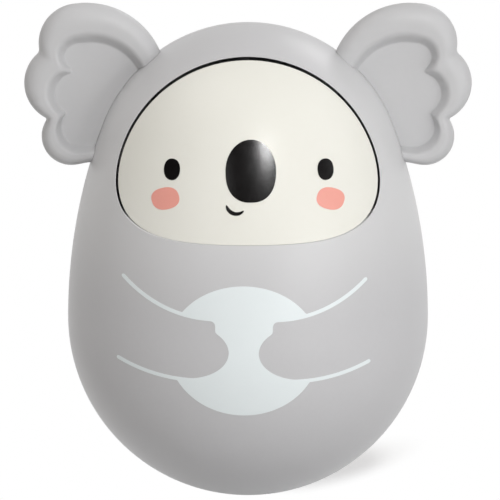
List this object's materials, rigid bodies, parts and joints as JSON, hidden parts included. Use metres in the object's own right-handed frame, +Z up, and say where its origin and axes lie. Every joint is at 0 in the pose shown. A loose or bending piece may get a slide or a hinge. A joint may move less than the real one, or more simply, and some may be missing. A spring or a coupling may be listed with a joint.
{
  "type": "roly poly toy",
  "caption": "Weighted egg-shaped roly poly baby toy with a hooded animal face, lobed ears and an inner chime struck by a swinging ball; rights itself when pushed",
  "frame": {"origin": "centre of the flat spot under the base, which the toy rests on", "axes": "+Z up, the face looks along -Y, +X is the toy's left ear's side, to the right in the picture"},
  "size_m": [0.1162, 0.0938, 0.1291],
  "materials": {
    "grey_shell": "satin grey moulded plastic",
    "grey_ear": "satin grey moulded plastic",
    "cream_face": "glossy cream moulded plastic",
    "black_ink": "glossy black pad-printed ink",
    "pink_ink": "pink pad-printed ink",
    "white_ink": "white pad-printed ink",
    "screw_steel": "zinc-plated steel screw",
    "cast_ballast": "bare cast iron",
    "rod_steel": "drawn steel rod",
    "white_nylon": "natural nylon"
  },
  "bodies": {
    "toy": {"front_shell": "grey_shell", "rear_shell": "grey_shell", "left_ear": "grey_ear", "right_ear": "grey_ear", "face_dome": "cream_face", "nose_print": "black_ink", "eye_prints": "black_ink", "cheek_prints": "pink_ink", "smile_print": "black_ink", "belly_print": "white_ink", "face_screws": "screw_steel", "shell_screws": "screw_steel", "ballast_weight": "cast_ballast", "chime_rod_1": "rod_steel", "chime_rod_2": "rod_steel", "chime_rod_3": "rod_steel", "chime_rod_4": "rod_steel", "chime_rod_5": "rod_steel", "chime_rod_6": "rod_steel", "chime_rod_7": "rod_steel", "chime_rod_8": "rod_steel", "striker_bracket": "white_nylon", "bracket_screws": "screw_steel", "hanger_pin": "rod_steel"},
    "link": {"hanger_link": "white_nylon", "striker_pin": "rod_steel"},
    "striker": {"striker_stem": "rod_steel", "striker_ball": "white_nylon"}
  },
  "joints": [
    {"name": "striker_fore_aft", "type": "hinge", "parent": "toy", "child": "link", "pos_m": [0, 0, 0.06803], "axis": [1, 0, 0], "range_deg": [-14, 14]},
    {"name": "striker_sideways", "type": "hinge", "parent": "link", "child": "striker", "pos_m": [0, 0, 0.06143], "axis": [0, 1, 0], "range_deg": [-18, 18]}
  ]
}
